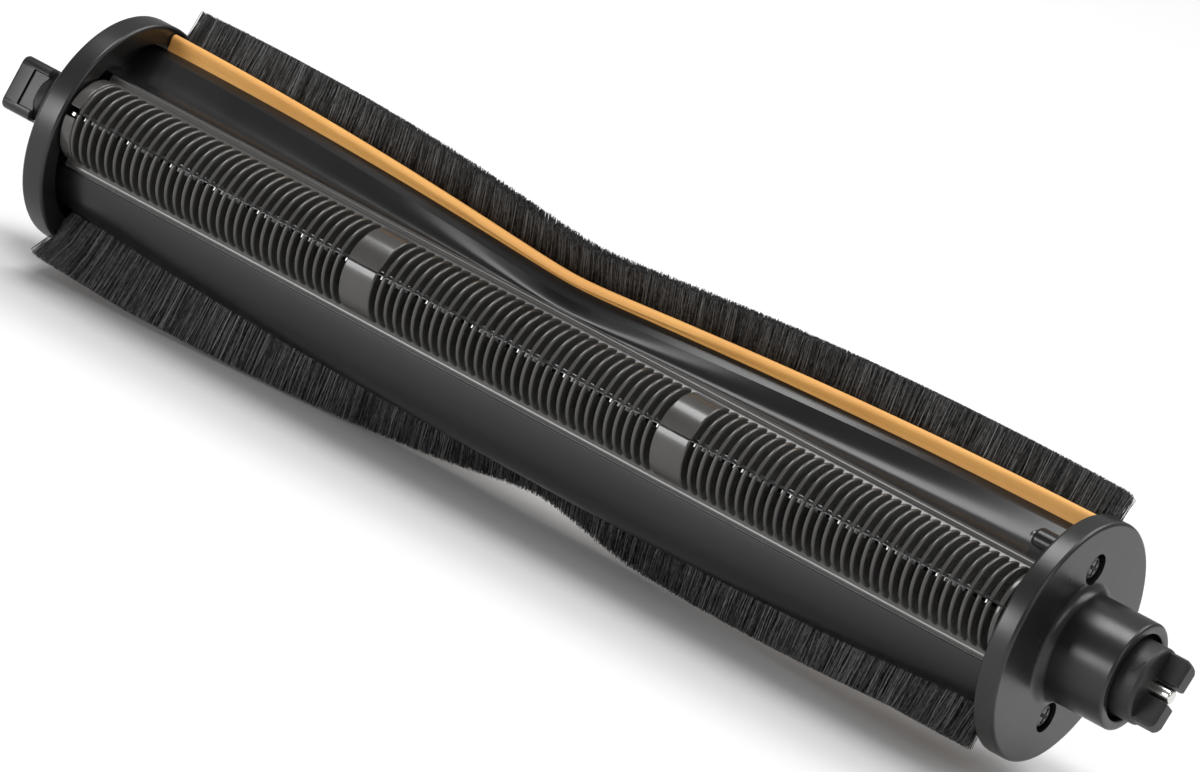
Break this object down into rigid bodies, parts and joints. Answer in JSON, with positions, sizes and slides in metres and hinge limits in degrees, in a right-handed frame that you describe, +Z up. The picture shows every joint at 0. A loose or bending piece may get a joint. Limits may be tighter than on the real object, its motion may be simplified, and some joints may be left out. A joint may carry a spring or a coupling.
{
  "type": "robot vacuum roller brush",
  "caption": "Vacuum roller brush with slotted combs over a sliding hair cutter, chevron bristle strips with rubber wipers, end flanges, a square drive stub and a turning end key.",
  "frame": {"origin": "middle of the overall length on the roller axis", "axes": "+X along the roller from the drive stub to the end key, +Z up as it lies on its lower bristles, front comb towards -Y"},
  "size_m": [0.2074, 0.036, 0.0434],
  "materials": {
    "body_plastic": "satin moulded black",
    "cap_plastic": "satin moulded black",
    "comb_plastic": "polished dark grey",
    "key_plastic": "matt moulded black",
    "wiper_rubber": "matt orange",
    "bristle_nylon": "black nylon hair",
    "spine_plastic": "matt black",
    "screw_steel": "blackened",
    "blade_steel": "ground bright",
    "pin_steel": "drawn bright",
    "bush_plastic": "natural, as moulded"
  },
  "bodies": {
    "roller": {"axle_bush": "bush_plastic", "backing_plate": "blade_steel", "bearing_cap": "cap_plastic", "bristle_spine_lower": "spine_plastic", "bristle_spine_upper": "spine_plastic", "bristles_lower": "bristle_nylon", "bristles_upper": "bristle_nylon", "cap_screw_lower": "screw_steel", "cap_screw_upper": "screw_steel", "comb_back_lower": "comb_plastic", "comb_back_upper": "comb_plastic", "comb_front_lower": "comb_plastic", "comb_front_upper": "comb_plastic", "core_lower": "body_plastic", "core_upper": "body_plastic", "drive_cap": "cap_plastic", "fairing_lower": "body_plastic", "fairing_upper": "body_plastic", "guide_pin_1": "pin_steel", "guide_pin_2": "pin_steel", "guide_pin_3": "pin_steel", "wiper_lower": "wiper_rubber", "wiper_upper": "wiper_rubber"},
    "end_key": {"end_key": "key_plastic", "axle_pin": "pin_steel", "cam_drum": "bush_plastic", "retaining_clip": "blade_steel"},
    "moving_blade": {"moving_blade": "blade_steel"}
  },
  "joints": [
    {"name": "key_turn", "type": "hinge", "parent": "roller", "child": "end_key", "pos_m": [0, 0, 0], "axis": [1, 0, 0], "continuous": true},
    {"name": "blade_slide", "type": "slide", "parent": "roller", "child": "moving_blade", "axis": [1, 0, 0], "range_m": [-0.0005, 0.0005]}
  ]
}
